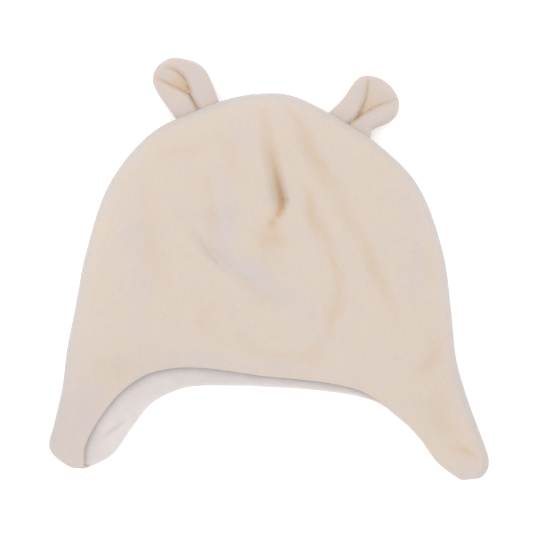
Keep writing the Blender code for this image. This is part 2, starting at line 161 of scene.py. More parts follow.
# One row for each soft fold of the front, from its start through its bend to its end. Places are
# shares as above, reach is a share of the crown's height and rise a share of the loft. A fold is
# highest, or lowest, at the share of its length that peak gives.
FOLD_COLUMNS = ("x0", "y0", "x1", "y1", "x2", "y2", "reach", "rise", "peak")
FOLDS = {
    "ridge_left_of_dart": (-0.102, 0.939, -0.061, 0.765, 0.005, 0.610, 0.036, 0.085, 0.8),
    "ridge_right_of_dart": (0.041, 0.917, 0.153, 0.747, 0.270, 0.560, 0.032, 0.065, 0.4),
    "ridge_right_low": (0.270, 0.560, 0.352, 0.440, 0.374, 0.330, 0.032, 0.040, 0.3),
    "valley_right": (0.082, 0.931, 0.230, 0.747, 0.408, 0.545, 0.032, -0.070, 0.4),
    "valley_right_low": (0.408, 0.545, 0.556, 0.336, 0.643, 0.195, 0.040, -0.040, 0.4),
    "valley_inner": (0.173, 0.635, 0.265, 0.495, 0.372, 0.336, 0.026, -0.058, 0.3),
    "valley_inner_low": (0.372, 0.336, 0.352, 0.245, 0.270, 0.144, 0.026, -0.050, 0.5),
    "pit_below_dart": (0.010, 0.500, 0.005, 0.460, 0.010, 0.420, 0.040, -0.040, 0.4),
    "crease_left": (-0.332, 0.657, -0.296, 0.531, -0.214, 0.386, 0.026, -0.045, 0.5),
    "ridge_slanting": (-0.255, 0.621, -0.179, 0.422, 0.051, 0.289, 0.044, 0.060, 0.6),
    "valley_slanting": (-0.367, 0.477, -0.245, 0.397, -0.163, 0.350, 0.026, -0.040, 0.5),
    "valley_middle": (-0.087, 0.304, -0.010, 0.260, 0.087, 0.224, 0.028, -0.040, 0.5),
    "valley_above_brow": (-0.184, 0.195, -0.163, 0.087, 0.326, 0.051, 0.024, -0.045, 0.4),
    "hollow_far_left": (-0.612, 0.657, -0.587, 0.513, -0.546, 0.368, 0.032, -0.035, 0.5),
    "hollow_right_cheek": (0.709, -0.092, 0.796, 0.022, 0.883, 0.105, 0.028, -0.050, 0.5),
    "crease_right_tip": (0.944, -0.734, 1.010, -0.798, 1.082, -0.789, 0.016, -0.035, 0.5),
    "dimple_right_flap": (0.806, -0.303, 0.857, -0.422, 0.918, -0.550, 0.032, -0.040, 0.5),
    "crease_left_flap": (-1.087, -0.505, -1.046, -0.440, -1.010, -0.330, 0.014, -0.030, 0.5),
}
# Finer folds that only the looks have, in the same columns
FINE_FOLDS = {
    "crease_by_streak": (-0.430, 0.540, -0.330, 0.450, -0.219, 0.378, 0.016, -0.055, 0.6),
    "crease_by_streak_low": (-0.219, 0.378, -0.112, 0.315, 0.010, 0.255, 0.014, -0.040, 0.4),
    "crease_high_left": (-0.306, 0.604, -0.291, 0.557, -0.281, 0.507, 0.012, -0.022, 0.5),
    "flank_right": (0.408, 0.539, 0.546, 0.394, 0.612, 0.199, 0.020, -0.020, 0.5),
    "drape_left_valley": (-0.648, 0.648, -0.577, 0.394, -0.495, 0.141, 0.050, -0.024, 0.5),
    "drape_left_ridge": (-0.750, 0.488, -0.679, 0.322, -0.612, 0.127, 0.045, 0.024, 0.5),
    "drape_right_valley": (0.765, 0.488, 0.776, 0.369, 0.730, 0.199, 0.040, -0.020, 0.5),
    "cheek_right": (0.867, 0.098, 0.816, 0.025, 0.781, 0.000, 0.018, -0.022, 0.5),
    "tip_right": (0.781, -0.373, 0.918, -0.546, 1.020, -0.774, 0.024, -0.022, 0.5),
    "cheek_left": (-0.929, -0.109, -0.888, -0.036, -0.847, 0.036, 0.020, -0.016, 0.5),
    "brow_low": (-0.168, 0.080, 0.102, 0.054, 0.321, 0.036, 0.014, -0.018, 0.4),
}
FOLD_ENDS = 0.25  # height of a fold at its ends, as a share of its height at its peak
# The dart's lines, in the same shares
DART_LINE = (-0.041, 0.960, 0.010, 0.765, 0.066, 0.578)
DART_PEAK = 0.93
# the line of the painted shade of the dart's hook
DART_HOOK_SHADE = (0.056, 0.600, 0.051, 0.560, 0.002, 0.530)
# the line of the painted highlight on the edge of the cloth that leans over the dart
DART_LIP_HIGHLIGHT = (-0.012, 0.730, 0.014, 0.660, 0.028, 0.596)

# Strokes of one tone along a line: how far each reaches to either side, as a share of the crown's
# height, and how strong it is.
STROKE_COLUMNS = ("x0", "y0", "x1", "y1", "x2", "y2", "reach", "strength")
# Painted sheen: where the pile has been brushed the other way, it is coloured paler and cooler
BRUSHED_SHEEN = {
    "streak_high": (-0.235, 0.665, -0.200, 0.550, -0.215, 0.445, 0.040, 0.95),
    "streak_low": (-0.215, 0.451, -0.128, 0.366, 0.041, 0.296, 0.029, 0.95),
    "streak_end": (0.041, 0.289, 0.102, 0.260, 0.143, 0.228, 0.018, 0.60),
    "below_streak": (0.122, 0.282, 0.194, 0.206, 0.240, 0.140, 0.044, 0.40),
    "beside_dart": (-0.133, 0.977, -0.117, 0.857, -0.102, 0.742, 0.030, 0.35),
    "high_left": (-0.469, 0.651, -0.408, 0.604, -0.332, 0.532, 0.036, 0.30),
    "flank_left": (-0.699, 0.604, -0.673, 0.369, -0.643, 0.116, 0.050, 0.42),
    "flank_right": (0.689, 0.731, 0.740, 0.478, 0.765, 0.224, 0.050, 0.32),
    "above_hem": (-0.714, 0.010, -0.204, 0.052, 0.306, 0.000, 0.030, 0.42),
    "left_flap": (-1.020, -0.870, -1.041, -0.503, -0.940, -0.237, 0.100, 0.88),
    "right_tip": (0.893, -0.893, 0.995, -1.002, 1.112, -0.847, 0.040, 0.50),
}
# Painted shade: where the pile lies in a fold, it is coloured deeper and warmer
SHADED = {
    "dart_high": (-0.031, 0.940, -0.026, 0.860, 0.015, 0.740, 0.030, 0.26),
    "pit_below_dart": (0.005, 0.520, 0.005, 0.470, 0.010, 0.410, 0.050, 0.34),
    "valley_right": (0.107, 0.937, 0.224, 0.771, 0.362, 0.590, 0.024, 0.36),
    "valley_right_low": (0.362, 0.590, 0.520, 0.390, 0.638, 0.199, 0.024, 0.28),
    "valley_inner": (0.173, 0.662, 0.204, 0.561, 0.281, 0.477, 0.020, 0.38),
    "valley_inner_low": (0.281, 0.477, 0.367, 0.351, 0.342, 0.243, 0.020, 0.28),
    "valley_inner_end": (0.342, 0.243, 0.316, 0.185, 0.263, 0.130, 0.024, 0.26),
    "crease_left": (-0.316, 0.714, -0.301, 0.604, -0.275, 0.519, 0.016, 0.24),
    "by_streak": (-0.444, 0.546, -0.337, 0.463, -0.250, 0.394, 0.014, 0.18),
    "band_left": (-0.628, 0.658, -0.592, 0.463, -0.520, 0.242, 0.045, 0.17),
    "band_mid_left": (-0.286, 0.269, -0.321, 0.206, -0.347, 0.140, 0.036, 0.16),
    "above_brow": (-0.189, 0.159, -0.148, 0.070, 0.046, 0.062, 0.022, 0.20),
    "above_brow_right": (0.046, 0.062, 0.184, 0.058, 0.321, 0.054, 0.024, 0.22),
    "crown_left": (-0.622, 0.756, -0.444, 0.796, -0.265, 0.825, 0.034, 0.16),
    "crown_middle": (-0.230, 0.842, -0.204, 0.785, -0.189, 0.702, 0.034, 0.22),
    "cheek_right": (0.872, 0.130, 0.837, 0.054, 0.755, -0.027, 0.034, 0.24),
    "flap_right": (0.827, -0.164, 0.867, -0.364, 0.913, -0.583, 0.055, 0.24),
    "tip_right": (0.939, -0.656, 1.010, -0.770, 1.077, -0.838, 0.010, 0.50),
    "flap_left": (-1.071, -0.474, -1.041, -0.401, -0.995, -0.328, 0.012, 0.30),
    "cheek_left": (-0.888, 0.036, -0.827, 0.000, -0.714, 0.036, 0.050, 0.16),
}
STROKE_WANDER = 0.0016  # how far a stroke strays from its line
STROKE_WAVE = 0.018  # length of the waves by which it strays and varies
STROKE_FULL, STROKE_UNEVEN = 0.95, 0.25  # its strength's mean, and how far that varies
STROKE_LEAST, STROKE_MOST = 0.4, 1.2
STROKE_WIDE, STROKE_WIDTH_UNEVEN = 1.15, 0.20  # the same for its reach
STROKE_ENDS = 0.45  # how strong it is at its ends
RIM_REACH, RIM_STRENGTH = 0.0034, 0.78  # the painted sheen and shade along a seam: a greyer, darker tone

# Each ear's base, as shares of the hat, and the lean of its length from +Y
EAR_COLUMNS = ("x", "y", "lean_deg", "length")
EARS = {
    "left_ear": (-0.375, 0.937, 32.0, 1.00),
    "right_ear": (0.411, 0.888, -44.0, 0.93),
}
# Each ear's outline from its base to its tip: a share of its length, and of half its width to
# either side
OUTLINE_COLUMNS = ("along", "left", "right")
EAR_OUTLINES = {
    "left_ear": (
        (-0.20, 0.76, 0.88),
        (0.10, 0.80, 1.03),
        (0.31, 0.84, 1.13),
        (0.50, 0.87, 1.17),
        (0.67, 0.86, 1.04),
        (0.79, 0.80, 0.81),
        (0.90, 0.60, 0.53),
        (0.96, 0.33, 0.28),
        (0.98, 0.00, 0.00),
    ),
    "right_ear": (
        (-0.20, 0.98, 0.96),
        (0.05, 0.94, 0.90),
        (0.19, 0.94, 0.72),
        (0.30, 0.96, 0.78),
        (0.46, 1.03, 0.94),
        (0.63, 1.08, 1.00),
        (0.76, 1.02, 0.92),
        (0.88, 0.76, 0.70),
        (0.95, 0.42, 0.36),
        (0.98, 0.00, 0.00),
    ),
}
# The creases of each folded ear, in the same shares: two that part at its apex, and the stem
# from there to the seam. sink is how deep each is at its start and its end, as a share of the
# ear's height.
CREASE_COLUMNS = ("x0", "y0", "x1", "y1", "x2", "y2", "sink0", "sink2")
EAR_CREASES = {
    "left_ear": {
        "left": (0.155, 0.30, -0.12, 0.50, -0.60, 0.80, 0.30, 0.10),
        "right": (0.155, 0.30, 0.51, 0.67, -0.06, 0.85, 0.34, 0.10),
        "stem": (0.155, 0.30, 0.10, 0.10, 0.13, -0.10, 0.30, 0.22),
    },
    "right_ear": {
        "left": (-0.05, 0.163, -0.20, 0.52, -0.74, 0.77, 0.32, 0.10),
        "right": (-0.05, 0.163, 0.02, 0.42, 0.40, 0.74, 0.34, 0.12),
        "stem": (-0.05, 0.163, -0.08, 0.05, -0.14, -0.10, 0.26, 0.16),
    },
}
EAR_HOLLOW = 0.0025  # how deep the cloth between the creases lies at the apex
CREASE_REACH, CREASE_POWER = 0.0010, 1.5  # half the width of a crease, and its curve
DARKEST_SINK = 0.34  # a crease so deep, as a share of the ear's height, gets the darkest painted shade
EAR_TIP = 0.98  # where an ear's outline ends, as a share of its length
EAR_RISE_SHARE = 0.6  # how much of its length an ear takes to rise to its full height
EAR_EDGE, EAR_EDGE_POWER = 0.0052, 2.2  # width of an ear's rounded rim, and its curve
EAR_SHEEN = 0.52  # how strong the paler painted sheen on its pile is outside the creases
EAR_SEAM_SHADOW_REACH, EAR_SEAM_SHADOW_STRENGTH = 0.0010, 0.46  # painted shadow: a darker line on the ear where it leaves the crown

# The photograph's frame and light
FRAME_PIXELS = 540
METRES_PER_PIXEL = 0.000510
SENSOR = 36.0  # millimetres
CAMERA_Y = 0.0093
CAMERA_HEIGHT = 1.30
CLIP_END = 50.0
FLOOR_SIZE = 6.0
FLOOR_GLOW = 0.25
SKY_STRENGTH = 1.01
SOFT_BOX_PLACE = (-0.4, 0.4, 1.5)
SOFT_BOX_SIZE = 0.9
SOFT_BOX_WATTS = 3.0

# Mesh density
SIDE_COLUMNS = 120
DART_COLUMNS = 40
DART_SPAN = 2.4  # how many rows of SECTIONS the closer columns cover
TIP_COLUMNS = 10
LINING_TIP_COLUMNS = 5  # how many of them the lining leaves out
BORDER_ROWS = 36
FRONT_ROWS = 84
BACK_ROWS = 40
ROLL_ROWS = 10
EAR_ROWS = 110
EAR_ROW_POWER = 1.5  # over 1, the rows lie closer towards the tip
EAR_POINTS_ROUND = 121
EAR_POINT_POWER = 0.8  # under 1, the points lie closer towards the rim
CURVE_SAMPLES = 40
SAME_POINT = 1e-6  # mesh points closer than this become one

BROW_Y = (FLAP_DROP - CROWN_HEIGHT) / 2


def place(share_x, share_y):
    """Shares of the hat's sizes as X and Y in metres."""
    share_x, share_y = np.asarray(share_x, float), np.asarray(share_y, float)
    drop = np.where(share_y > 0, CROWN_HEIGHT, FLAP_DROP)
    return np.stack([share_x * HAT_WIDTH / 2, BROW_Y + share_y * drop], axis=-1)


def blend(start, end, share):
    return start + (end - start) * share


def ease(share):
    """0 to 1 with level ends."""
    share = np.clip(share, 0, 1)
    return share * share * (3 - 2 * share)


def smooth_through(rows, at):
    """A Catmull-Rom curve through the rows, read at row numbers that may be fractions."""
    p = np.vstack([2 * rows[0] - rows[1], rows, 2 * rows[-1] - rows[-2]])
    k = np.clip(np.floor(at).astype(int), 0, len(rows) - 2)
    t = (at - k)[:, None]
    a, b, c, d = p[k], p[k + 1], p[k + 2], p[k + 3]
    return b + t / 2 * (c - a + t * (2 * a - 5 * b + 4 * c - d + t * (3 * (b - c) + d - a)))


def round_over(count):
    """Shares (along, up) of a rounded border, from its upright foot to its level top."""
    angle = np.linspace(0, math.pi / 2, count + 1)[1:]
    return 1 - np.cos(angle).clip(0) ** (2 / BORDER_POWER), np.sin(angle) ** (2 / BORDER_POWER)


def waves(xy, wavelength, kind):
    """Smooth irregular relief from about -1 to 1, with bumps of about one wavelength."""
    draw = np.random.default_rng(SEEDS[kind])
    turn = draw.uniform(0, 2 * math.pi, WAVES_IN_RELIEF)
    phase = draw.uniform(0, 2 * math.pi, WAVES_IN_RELIEF)
    size = wavelength * draw.uniform(SHORTEST_WAVE, LONGEST_WAVE, WAVES_IN_RELIEF)
    relief = np.zeros(xy.shape[:-1])
    for t, p, s in zip(turn, phase, size):
        along = xy[..., 0] * math.cos(t) + xy[..., 1] * math.sin(t)
        relief += np.sin(2 * math.pi * along / s + p)
    return relief / math.sqrt(2 * WAVES_IN_RELIEF)


def beside_curve(xy, start, bend, end):
    """Each point's signed distance from a curve, left negative, and its place along it."""
    t = np.linspace(0, 1, CURVE_SAMPLES)
    u = t[:, None]
    line = (1 - u) ** 2 * start + 2 * u * (1 - u) * bend + u**2 * end
    ahead = np.gradient(line, t, axis=0)
    flat = xy.reshape(-1, 2)
    gap = (flat**2).sum(1)[:, None] - 2 * flat @ line.T + (line**2).sum(1)
    nearest = gap.argmin(1)
    offset = flat - line[nearest]
    speed = np.linalg.norm(ahead[nearest], axis=1)
    unit = ahead[nearest] / speed[:, None]
    on = (offset * unit).sum(1)
    across = offset[:, 1] * unit[:, 0] - offset[:, 0] * unit[:, 1]
    past = np.where(nearest == 0, np.minimum(on, 0), 0)
    past = np.where(nearest == CURVE_SAMPLES - 1, np.maximum(on, 0), past)
    distance = -np.sign(across) * np.hypot(across, past)
    along = np.clip(t[nearest] + (on - past) / speed, 0, 1)
    return distance.reshape(xy.shape[:-1]), along.reshape(xy.shape[:-1])


def beside_line(xy, shares):
    """The same for a line on the hat, given by its shares."""
    return beside_curve(xy, *place(shares[0:6:2], shares[1:6:2]))


def swell(t, peak):
    """1 at the peak of a fold, easing to a lower share at its start and end."""
    return blend(FOLD_ENDS, 1.0, ease(np.where(t < peak, t / peak, (1 - t) / (1 - peak))))


def sculpted(xy):
    """The sideways lean and the height that the folds and the dart give the front, and how
    strongly shade is painted at each point into its folds and dart, from 0 to about 1."""
    height = np.zeros(xy.shape[:-1])
    for shares in list(FOLDS.values()) + list(FINE_FOLDS.values()):
        fold = dict(zip(FOLD_COLUMNS, shares))
        distance, t = beside_line(xy, shares[:6])
        ridge = np.exp(-((distance / (fold["reach"] * CROWN_HEIGHT)) ** 2))
        height += fold["rise"] * LOFT * ridge * swell(t, fold["peak"])
    distance, t = beside_line(xy, DART_LINE)
    deep = swell(t, DART_PEAK) ** 2
    slope = np.where(distance < 0, DART_WIDTH * DART_STEEP_SHARE, DART_WIDTH)
    dart = deep * np.exp(-(np.abs(distance / slope) ** DART_POWER))
    from_lip = distance + DART_WIDTH * OVERHANG_PLACE
    lean = DART_OVERHANG * deep * np.exp(-((from_lip / (DART_WIDTH * OVERHANG_REACH)) ** 2))
    # Painted shade: the dart's dark core, and the dark hook below it
    core = np.where(distance < 0, DART_SHADE_LEFT, DART_SHADE_RIGHT)
    painted_dart_shade = deep**DART_SHADE_SPREAD * np.exp(-(np.abs(distance / core) ** DART_SHADE_POWER))
    distance, t = beside_line(xy, DART_HOOK_SHADE)
    painted_hook_shade = HOOK_STRENGTH * np.exp(-((distance / HOOK_REACH) ** 2)) * (1 - t * HOOK_FADE)
    painted_fold_shade = np.maximum(stroked(xy, SHADED), np.maximum(painted_dart_shade, painted_hook_shade))
    return lean, height - DART_DEPTH * dart, painted_fold_shade


def stroked(xy, strokes):
    """How strong the strokes of one tone are at each point, from 0 to 1."""
    most = np.zeros(xy.shape[:-1])
    wander = [waves(xy, STROKE_WAVE, kind) for kind in ("stroke_x", "stroke_y")]
    bent = xy + STROKE_WANDER * np.stack(wander, axis=-1)
    uneven = STROKE_FULL + STROKE_UNEVEN * waves(xy, STROKE_WAVE, "stroke_strength")
    uneven = np.clip(uneven, STROKE_LEAST, STROKE_MOST)
    widened = STROKE_WIDE + STROKE_WIDTH_UNEVEN * waves(xy, STROKE_WAVE, "stroke_width")
    for shares in strokes.values():
        stroke = dict(zip(STROKE_COLUMNS, shares))
        distance, t = beside_line(bent, shares[:6])
        reach = stroke["reach"] * CROWN_HEIGHT * widened
        ends = blend(STROKE_ENDS, 1.0, ease(4 * t * (1 - t)))
        soft = stroke["strength"] * uneven * ends * np.exp(-((distance / reach) ** 2))
        most = most + soft * (1 - most)
    return most.clip(0, 1)


def cuts(side):
    """Lines across the front or back: their seam ends, hem ends and puff, and how far the tips
    have opened there, from 0 to 1."""
    table = dict(zip(SECTION_COLUMNS, np.array(SECTIONS).T))
    outer = place(table["outer_x"], table["outer_y"])
    inner = place(table[side + "_x"], table[side + "_y"])
    rows = np.column_stack([outer, inner, table["puff"]])
    last = len(rows) - 1
    along, up = round_over(TIP_COLUMNS)
    first_step = np.linalg.norm(outer[1] - outer[0] + inner[1] - inner[0]) / 2
    last_step = np.linalg.norm(outer[-1] - outer[-2] + inner[-1] - inner[-2]) / 2
    start = along * TIP_ROUND / first_step
    stop = last - along * TIP_ROUND / last_step
    middle = last / 2
    dart = np.linspace(middle - DART_SPAN / 2, middle + DART_SPAN / 2, DART_COLUMNS + 1)
    left = np.linspace(start[-1], dart[0], SIDE_COLUMNS + 1)[1:-1]
    right = np.linspace(dart[-1], stop[-1], SIDE_COLUMNS + 1)[1:-1]
    at = np.concatenate([[0, 0], start, left, dart, right, stop[::-1], [last, last]])
    opened = np.ones(at.size)
    opened[: up.size + 2] = np.concatenate([[0, 0], up])
    opened[-up.size - 2 :] = np.concatenate([up[::-1], [0, 0]])
    cut = smooth_through(rows, at)
    seam, hem = cut[:, 0:2], cut[:, 2:4]
    width = np.linalg.norm(hem - seam, axis=1)
    seam = seam + (hem - seam) * (TIP_CORNER * (1 - opened) / width)[:, None]
    return seam, hem, cut[:, 4].clip(0, 1), opened


def shares_across(width, border, along, field_rows, stop_short):
    """For each row from the seam to the hem, its share of the way across the panel."""
    end = 1 - np.minimum(stop_short / width, HEM_SHARE_MOST)
    rows = [0 * width]
    rows += [border * a for a in along]
    rows += [blend(border, end, f) for f in np.linspace(0, 1, field_rows + 1)[1:]]
    return np.array(rows)


def puckers(seam, share, width, kind):
    """The small ripples where cloth is sewn, strongest a little way in from the seam."""
    walked = np.concatenate([[0], np.cumsum(np.linalg.norm(np.diff(seam, axis=0), axis=1))])
    line = np.stack([walked, 0 * walked], axis=-1)
    ripple = waves(line, PUCKER_WAVE, kind)
    far = share * width
    return PUCKER_HEIGHT * ripple * ease(far / PUCKER_START) * np.exp(-far / PUCKER_REACH)


def rim_sheen_and_shade(far):
    """How strong the sheen and shade painted along the rim are, so far in from the seam."""
    return RIM_STRENGTH * np.exp(-((far / RIM_REACH) ** 2))


def front_surface(stop_short):
    """The front's outer side from the seam towards the hem, with the tones of its pile: painted
    shade in its folds and dart, a painted highlight and painted sheen, and painted sheen and
    shade along its seam.
    """
    seam, hem, puff, opened = cuts("front")
    width = np.linalg.norm(hem - seam, axis=1)
    border = blend(FLAP_BORDER_SHARE, CROWN_BORDER_SHARE, puff)
    along, up = round_over(BORDER_ROWS)
    share = shares_across(width, border, along, FRONT_ROWS, stop_short)
    base = blend(FLAP_THICKNESS / 2, CROWN_SEAM_HEIGHT, puff)
    crest = blend(FLAP_THICKNESS, LOFT, puff)
    hem_top = blend(FLAP_THICKNESS * FLAP_HEM_SHARE, HEM_LIFT, puff)
    fall = np.clip((share - border) / (1 - border), 0, 1) ** FALL_POWER
    rise = crest - base - (crest - hem_top) * fall
    rise[1 : 1 + len(up)] = np.outer(up, crest - base)
    rise[0] = 0
    rise = rise * opened
    droop = HEM_DROOP * blend(FLAP_DROOP_SHARE, 1.0, puff) * opened
    rise = rise - droop * (1 - ease((1 - share) * width / HEM_DROOP_WIDTH))
    xy = seam + (hem - seam) * share[..., None]
    lean, fold, painted_fold_shade = sculpted(xy)
    keep = ease(share * width / SEAM_FADE) * ease((1 - share) * width / HEM_FADE) * ease(opened)
    soft = SOFT_RELIEF * waves(xy, SOFT_RELIEF_WAVE, "soft_relief")
    fine = FINE_RELIEF * waves(xy, FINE_RELIEF_WAVE, "fine_relief")
    sewn = puckers(seam, share, width, "front_puckers")
    z = base + rise + (fold + (soft + fine)) * keep + sewn * opened
    x = xy[..., 0] + lean * keep
    # Painted highlight on the lip beside the dart, and painted sheen where the pile lies the other
    # way
    distance, t = beside_line(xy, DART_LIP_HIGHLIGHT)
    lip_highlight = LIP_STRENGTH * np.exp(-((distance / LIP_REACH) ** 2)) * t
    painted_sheen = np.maximum(stroked(xy, BRUSHED_SHEEN), lip_highlight)
    tones = {"painted_fold_shade": painted_fold_shade * keep, "painted_sheen": painted_sheen, "rim_sheen_and_shade": rim_sheen_and_shade(share * width)}
    return np.stack([x, xy[..., 1], z], axis=-1), tones, hem - seam, opened


def back_surface(stop_short):
    """The back's outer side from the seam towards the hem. It lies flat on the table."""
    seam, hem, puff, opened = cuts("back")
    width = np.linalg.norm(hem - seam, axis=1)
    border = np.minimum(BACK_ROUND / width, BACK_ROUND_MOST)
    along, up = round_over(BORDER_ROWS)
    share = shares_across(width, border, along, BACK_ROWS, stop_short)
    base = blend(FLAP_THICKNESS / 2, CROWN_SEAM_HEIGHT, puff)
    drop = np.repeat(base[None], len(share), axis=0)
    drop[1 : 1 + len(up)] = np.outer(up, base)
    drop[0] = 0
    drop = drop * opened
    xy = seam + (hem - seam) * share[..., None]
    z = base - drop + np.abs(puckers(seam, share, width, "back_puckers")) * opened
    # the back's pile gets only the painted sheen and shade along its seam
    tones = {"painted_fold_shade": 0 * share, "painted_sheen": 0 * share, "rim_sheen_and_shade": rim_sheen_and_shade(share * width)}
    return np.dstack([xy, z]), tones, hem - seam, opened


def round_the_roll(last, outwards, down, opened, from_angle, to_angle):
    """Rows of points round a hem's soft roll, whose outer side starts at the row called last. It
    rolls down where down is 1, and up where it is -1."""
    out = np.zeros(last.shape)
    out[:, :2] = outwards / np.linalg.norm(outwards, axis=1)[:, None]
    under = np.array([0, 0, -down])
    radius = (HEM_ROLL * ease(opened * ROLL_GROWTH))[:, None]
    rows = []
    for a in np.radians(np.linspace(from_angle, to_angle, ROLL_ROWS + 1)):
        rows.append(last + radius * (math.sin(a) * out + (1 - math.cos(a)) * under))
    return np.array(rows)


def normals_of(points, flip):
    """A unit vector out of the sheet at each point."""
    side = np.cross(np.gradient(points, axis=1), np.gradient(points, axis=0))
    side /= np.maximum(np.linalg.norm(side, axis=-1, keepdims=True), 1e-12)
    return -side if flip else side


def without_tip_side(out, outwards, opened):
    """The same vectors without their part along the hat where a flap's tip closes, so that a
    lining set in by them still reaches the tip."""
    across = outwards / np.linalg.norm(outwards, axis=1)[:, None]
    ahead = np.column_stack([-across[:, 1], across[:, 0], 0 * opened])
    along = (out * ahead).sum(-1, keepdims=True)
    return out - (1 - ease(2 * opened - 1))[:, None] * along * ahead


def grid_object(name, points, flip, attributes):
    """A sheet of cloth whose grid lies at the points, with a value at each for each attribute."""
    rows, across = points.shape[:2]
    bm = bmesh.new()
    bmesh.ops.create_grid(bm, x_segments=across - 1, y_segments=rows - 1, size=0.5)
    layers = {key: bm.verts.layers.float.new(key) for key in attributes}
    for i, (vertex, point) in enumerate(zip(bm.verts, points.reshape(-1, 3))):
        vertex.co = point
        for key, layer in layers.items():
            vertex[layer] = attributes[key].flat[i]
    bmesh.ops.remove_doubles(bm, verts=bm.verts, dist=SAME_POINT)
    if flip:
        bmesh.ops.reverse_faces(bm, faces=bm.faces)
    mesh = bpy.data.meshes.new(name)
    bm.to_mesh(mesh)
    bm.free()
    mesh.shade_smooth()
    made = bpy.data.objects.new(name, mesh)
    bpy.context.scene.collection.objects.link(made)
    return made


def thicken(obj, thickness):
    """Give a sheet its thickness, inwards."""
    cloth = obj.modifiers.new("Cloth", "SOLIDIFY")
    cloth.thickness = thickness
    cloth.offset = -1


def panel(name, surface, down, meet, finish):
    """A velour panel, up to where its hem's roll meets the lining."""
    points, tones, outwards, opened = surface(HEM_ROLL)
    roll = round_the_roll(points[-1], outwards, down, opened, 0, meet)[1:]
    points = np.concatenate([points, roll])
    for key, tone in tones.items():
        tones[key] = np.concatenate([tone, np.repeat(tone[-1:], len(roll), axis=0)])
    obj = grid_object(name, points, down > 0, tones)
    thicken(obj, VELOUR)
    obj.data.materials.append(finish)
    return obj


def lining(name, surface, down, meet, finish):
    """The jersey inside a panel, up to where it meets the velour on the hem's roll."""
    points, _, outwards, opened = surface(HEM_ROLL)
    roll = round_the_roll(points[-1], outwards, down, opened, 180, meet + MEET_GAP)
    width = np.linalg.norm(points - points[-1], axis=-1)
    near_hem = 1 - ease(width / HEM_EASE)
    depth = blend(VELOUR + BETWEEN_CLOTHS + JERSEY, 2 * HEM_ROLL, near_hem)
    out = without_tip_side(normals_of(points, down > 0), outwards, opened)
    inside = points - out * depth[..., None]
    xy = inside[..., :2]
    # ridge is the lining's rise beside its crease, and tone is the shade painted into the crease
    ridge, tone = band_crease(xy)
    rumple = LINING_RELIEF * (1 + waves(xy, LINING_WAVE, "lining")) + ridge
    inside[..., 2] -= down * rumple * (1 - near_hem)
    inside[-1] = roll[0]
    kept = slice(LINING_TIP_COLUMNS, -LINING_TIP_COLUMNS)
    points = np.concatenate([inside, roll[1:]])[:, kept]
    tone = np.concatenate([tone, 0 * roll[1:, :, 0]])[:, kept]
    obj = grid_object(name, points, down < 0, {"painted_fold_shade": tone})
    thicken(obj, JERSEY)
    obj.data.materials.append(finish)
    return obj


def band_crease(xy):
    """How high the lining rises beside its soft crease on the left flap, and the shade painted
    into the crease.
    """
    distance, t = beside_line(xy, BAND_CREASE)
    ends = ease(4 * t * (1 - t))
    ridge = np.exp(-((distance / BAND_CREASE_REACH - BAND_RIDGE_PLACE) ** 2))
    tone = np.exp(-((distance / (BAND_CREASE_REACH * BAND_SHADE_SHARE)) ** 2))
    return BAND_CREASE_RISE * ridge * ends, BAND_CREASE_SHADE * tone * ends


def ear_surface(name):
    """A padded folded ear as rings round its length, from its base to its tip, along +Y, and the
    shade painted into its creases."""
    ear = dict(zip(EAR_COLUMNS, EARS[name]))
    length = ear["length"] * EAR_LENGTH
    rows = np.array(EAR_OUTLINES[name])
    at = (len(rows) - 1) * (1 - (1 - np.linspace(0, 1, EAR_ROWS)) ** EAR_ROW_POWER)
    outline = dict(zip(OUTLINE_COLUMNS, smooth_through(rows, at).T[..., None]))
    y = outline["along"] * length
    left, right = (outline[side] * EAR_WIDTH / 2 for side in ("left", "right"))
    risen = ease(np.clip(y / length, 0, 1) / EAR_RISE_SHARE)
    high = blend(EAR_BASE_HEIGHT, EAR_HEIGHT, risen) / 2
    middle = blend(CROWN_SEAM_HEIGHT, EAR_REST + EAR_HEIGHT / 2, risen)
    turn = np.linspace(0, 2 * math.pi, EAR_POINTS_ROUND)
    wide = np.sign(np.cos(turn)) * np.abs(np.cos(turn)) ** EAR_POINT_POWER
    x = (right - left) / 2 + (right + left) / 2 * wide
    to_rim = np.minimum((right + left) / 2 * (1 - np.abs(wide)), EAR_TIP * length - y)
    edge = np.clip(to_rim / EAR_EDGE, 0, 1)
    swollen = (1 - (1 - edge) ** EAR_EDGE_POWER) ** (1 / EAR_EDGE_POWER)
    top = np.sin(turn) >= 0
    xy = np.stack([x, np.broadcast_to(y, x.shape)], axis=-1)
    sunk, painted_fold_shade = ear_creases(name, xy, length)
    z = middle + np.where(top, 1, -1) * high * swollen - np.where(top, sunk * swollen, 0)
    return np.dstack([xy, z]), painted_fold_shade * top


def ear_creases(name, xy, length):
    """How deep each point of an ear's upper side lies in its creases and in the hollow between
    them, in metres, and how strongly shade is painted there, from 0 to 1."""
    size = np.array([EAR_WIDTH / 2, length])
    lines = {}
    for key, row in EAR_CREASES[name].items():
        crease = dict(zip(CREASE_COLUMNS, row))
        points = np.array(row[:6]).reshape(3, 2) * size
        distance, t = beside_curve(xy, *points)
        lines[key] = distance, t, blend(crease["sink0"], crease["sink2"], t) * EAR_HEIGHT
    sunk = 0
    for distance, _, sink in lines.values():
        groove = np.exp(-(np.abs(distance / CREASE_REACH) ** CREASE_POWER))
        sunk = np.maximum(sunk, sink * groove)
    (from_left, t_left, _), (from_right, t_right, _) = lines["left"], lines["right"]
    between = ease(from_left / CREASE_REACH) * ease(-from_right / CREASE_REACH)
    hollow = EAR_HOLLOW * between * (1 - ease(np.minimum(t_left, t_right)))
    depth = np.maximum(sunk, hollow)
    return depth, np.clip(depth / (DARKEST_SINK * EAR_HEIGHT), 0, 1)


